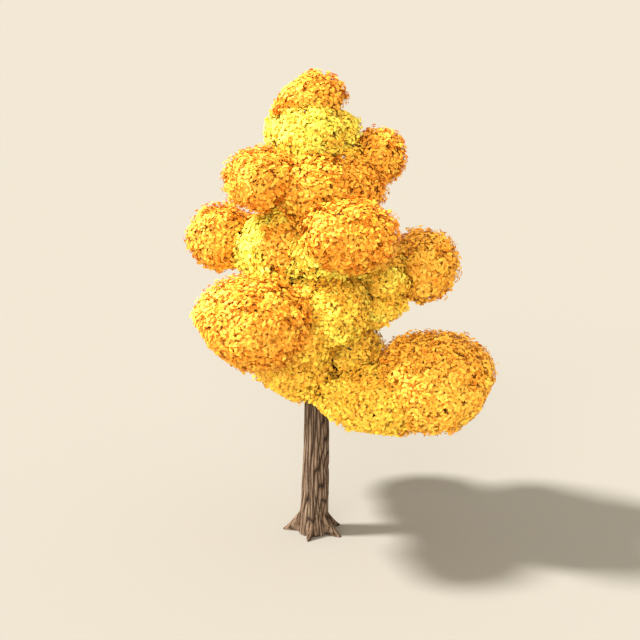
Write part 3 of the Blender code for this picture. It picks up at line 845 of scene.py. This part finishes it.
def leaf_mesh(at, root, length, normal, size):
    """All leaves of one tint as points and triangles: a thin stalk and a notched fan in each."""
    outline = np.array(BLADE_OUTLINE)
    side = np.cross(length, normal)
    blade = (
        root[:, None]
        + side[:, None] * (outline[:, 0] * size[:, None])[..., None]
        + length[:, None] * (outline[:, 1] * size[:, None])[..., None]
        + normal[:, None] * (outline[:, 2] * size[:, None])[..., None]
    )
    width = side * (STALK_WIDTH_SHARE * size)[:, None]
    verts = np.concatenate([(at - width)[:, None], (at + width)[:, None], blade], axis=1)
    faces = np.array(LEAF_FACES)[None] + (np.arange(len(at)) * verts.shape[1])[:, None, None]
    return verts.reshape(-1, 3), faces.reshape(-1, 3)


def principled(name, colour, roughness, specular):
    """A material of one colour."""
    made = bpy.data.materials.new(name)
    made.use_nodes = True
    sockets = made.node_tree.nodes["Principled BSDF"].inputs
    sockets["Base Color"].default_value = (*colour, 1.0)
    sockets["Roughness"].default_value = roughness
    sockets["Specular IOR Level"].default_value = specular
    return made


def bark_material(name, scale, has_ridges=True):
    """Grey-brown bark: dark in the furrows, partly as painted shade, paler and greyer on the
    ridges, with a fine grain.
    """
    made = principled(name, BARK_COLOUR, BARK_ROUGHNESS, BARK_SPECULAR)
    tree = made.node_tree
    nodes, links = tree.nodes, tree.links
    shader = nodes["Principled BSDF"]
    place = nodes.new("ShaderNodeTexCoord")
    stretch = nodes.new("ShaderNodeMapping")
    stretch.inputs["Scale"].default_value = (scale, scale, scale * GRAIN_STRETCH)
    links.new(place.outputs["Object"], stretch.inputs["Vector"])
    grain = nodes.new("ShaderNodeTexNoise")
    grain.inputs["Scale"].default_value = 1.0
    grain.inputs["Detail"].default_value = GRAIN_DETAIL
    grain.inputs["Roughness"].default_value = GRAIN_ROUGHNESS
    links.new(stretch.outputs["Vector"], grain.inputs["Vector"])
    tone = nodes.new("ShaderNodeMath")
    tone.operation = "MULTIPLY_ADD"
    tone.inputs[1].default_value = GRAIN_CONTRAST
    tone.inputs[2].default_value = RIDGED_GRAIN_OFFSET if has_ridges else GRAIN_OFFSET
    links.new(grain.outputs["Fac"], tone.inputs[0])
    if has_ridges:
        ridge = nodes.new("ShaderNodeAttribute")
        ridge.attribute_name = "ridge"
        lifted = nodes.new("ShaderNodeMath")
        lifted.operation = "MULTIPLY_ADD"
        lifted.inputs[1].default_value = RIDGE_CONTRAST
        links.new(ridge.outputs["Fac"], lifted.inputs[0])
        links.new(tone.outputs["Value"], lifted.inputs[2])
        tone = lifted
    # The ramp darkens the furrows, partly as painted shade, and pales the ridges
    tones = nodes.new("ShaderNodeValToRGB")
    ramp = tones.color_ramp
    ramp.elements.new(0.5)
    for element, (position, colour) in zip(ramp.elements, BARK_TONES):
        element.position = position
        element.color = (*colour, 1.0)
    links.new(tone.outputs["Value"], tones.inputs["Fac"])
    links.new(tones.outputs["Color"], shader.inputs["Base Color"])
    bump = nodes.new("ShaderNodeBump")
    bump.inputs["Strength"].default_value = BUMP_STRENGTH
    bump.inputs["Distance"].default_value = BUMP_SHARE / scale
    links.new(grain.outputs["Fac"], bump.inputs["Height"])
    links.new(bump.outputs["Normal"], shader.inputs["Normal"])
    return made


def deal_tints(mass, knots, rng):
    """The tint of each spray: random, but alike on one branchlet and its neighbours."""
    ring = mass.name.rstrip("_0123456789")
    # Some mixes hold painted light and painted shade: lighter tints on the masses in the crown's
    # shadow, deeper tints on the sunlit front mass
    mix = MIXES.get(mass.name) or MIXES.get(ring) or (AMBER_MIX if mass.amber else YELLOW_MIX)
    draw = np.full(len(knots), 0.5)
    for height, pitch in TINT_WAVES:
        wave = rng.normal(0.0, pitch, 3)
        draw = draw + height * np.sin(knots @ wave + rng.uniform(*PHASES))
    draw = np.clip(draw + rng.normal(0.0, TINT_NOISE, len(knots)), 0.0, ALMOST_ONE)
    tints = pick(mix, draw)
    name, centre, radius = AMBER_PATCH
    if mass.name == name:
        is_near = np.linalg.norm(knots - centre, axis=1) < radius
        tints[is_near] = pick(AMBER_MIX, draw)[is_near]
    return tints


def pick(mix, draw):
    """The tint that each draw, from 0 to 1, falls on in a mix."""
    edges = np.cumsum([share for _, share in mix])
    names = np.array([name for name, _ in mix])
    return names[np.minimum(np.searchsorted(edges, draw), len(mix) - 1)]


def make_foliage(masses, stem_finish, twig_finish):
    """Stems, branches, twigs and leaves of every mass, joined by kind."""
    lines = {kind: [] for kind in LIMB_SIDES}
    leaves = {tint: [] for tint in TINTS}
    replaced = {tint: [] for tint in TINTS}
    for number, mass in enumerate(masses):
        rng = np.random.default_rng(SEED + number)
        growth = Growth(mass, masses, rng)
        if not mass.has_bough:
            lines["stems"].append((mass.limb[0][None], mass.limb[1][None]))
        lines["branches"].append((growth.branches, growth.branch_radii))
        lines["branchlets"].append((growth.branchlets, growth.branchlet_radii))
        lines["spray_twigs"].append((growth.sprays, growth.spray_radii))
        parts, which = grow_leaves(growth, masses, rng)
        tints = deal_tints(mass, growth.spray_knots, rng)[which]
        for tint in TINTS:
            leaves[tint].append([part[tints == tint] for part in parts])
        replaced["amber" if mass.amber else "yellow"].append(mass.name)
    for kind, sides in LIMB_SIDES.items():
        points, radii = (np.concatenate(column) for column in zip(*lines[kind]))
        piece = mesh_object(kind, *tubes(points, radii, sides))
        piece.data.shade_smooth()
        ride_as(piece, [], twig_finish if sides == TWIG_SIDES else stem_finish)
    for tint, (slot, colour) in TINTS.items():
        parts = [np.concatenate(column) for column in zip(*leaves[tint])]
        piece = mesh_object(f"leaves_{tint}", *leaf_mesh(*parts))
        finish = principled(f"leaf {tint}", colour, LEAF_ROUGHNESS, LEAF_SPECULAR)
        ride_as(piece, replaced[tint], finish)


def make_stage():
    """A pale level floor that runs on to the horizon, where it meets a sky of its own colour."""
    angle = angles_round(FLOOR_SIDES)
    rim = np.stack([np.cos(angle), np.sin(angle), np.zeros(FLOOR_SIDES)], axis=-1) * FLOOR_RADIUS
    here = np.arange(FLOOR_SIDES)
    after = (here + 1) % FLOOR_SIDES
    faces = np.stack([np.full(FLOOR_SIDES, FLOOR_SIDES), here, after], axis=-1)
    floor = mesh_object("floor", np.concatenate([rim, np.zeros((1, 3))]), faces)
    falling = np.array(SKY_COLOUR)
    for heading, strength, _, colour in LAMPS.values():
        falling = falling + strength * -Vector(heading).normalized().z * np.array(colour)
    colour = np.array(SKY_COLOUR) / falling
    floor.data.materials.append(principled("pale floor", colour, 1.0, 0.0))


def make_light():
    """A soft sun from the left, a broad fill from the front, and an even warm sky."""
    for name, (heading, strength, angle, colour) in LAMPS.items():
        light = bpy.data.lights.new(name, "SUN")
        light.energy = strength * math.pi
        light.angle = math.radians(angle)
        light.color = colour
        lamp = bpy.data.objects.new(name, light)
        lamp.rotation_euler = Vector(heading).to_track_quat("-Z", "Y").to_euler()
        bpy.context.scene.collection.objects.link(lamp)
    world = bpy.data.worlds.new("sky")
    world.use_nodes = True
    background = world.node_tree.nodes["Background"]
    background.inputs["Color"].default_value = (*SKY_COLOUR, 1.0)
    background.inputs["Strength"].default_value = 1.0
    bpy.context.scene.world = world
    bpy.context.scene.view_settings.view_transform = "Standard"


def make_camera():
    """At the photograph's viewing angle, looking down on the tree."""
    lens = bpy.data.cameras.new("camera")
    lens.lens = LENS_LENGTH
    lens.sensor_width = SENSOR_WIDTH
    lens.clip_end = FURTHEST_SEEN
    camera = bpy.data.objects.new("camera", lens)
    camera.location = CAMERA_PLACE
    camera.rotation_euler = (math.radians(90.0 - CAMERA_TILT), 0.0, 0.0)
    bpy.context.scene.collection.objects.link(camera)
    bpy.context.scene.camera = camera


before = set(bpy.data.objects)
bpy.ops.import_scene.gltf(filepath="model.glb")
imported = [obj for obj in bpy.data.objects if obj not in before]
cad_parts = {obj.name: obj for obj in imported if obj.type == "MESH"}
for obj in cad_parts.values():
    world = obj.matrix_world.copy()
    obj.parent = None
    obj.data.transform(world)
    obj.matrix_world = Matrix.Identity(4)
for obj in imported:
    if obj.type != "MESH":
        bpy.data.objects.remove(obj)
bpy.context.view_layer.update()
make_camera()
make_light()
make_stage()
masses = plan_masses()
make_trunk(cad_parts["trunk"], bark_material("trunk bark", TRUNK_GRAIN))
bough_finish = bark_material("limb bark", BOUGH_GRAIN)
for mass in masses:
    if mass.has_bough:
        make_bough(mass, bough_finish)
twig_finish = principled("twig bark", TWIG_COLOUR, TWIG_ROUGHNESS, TWIG_SPECULAR)
make_foliage(masses, bark_material("stem bark", STEM_GRAIN, has_ridges=False), twig_finish)
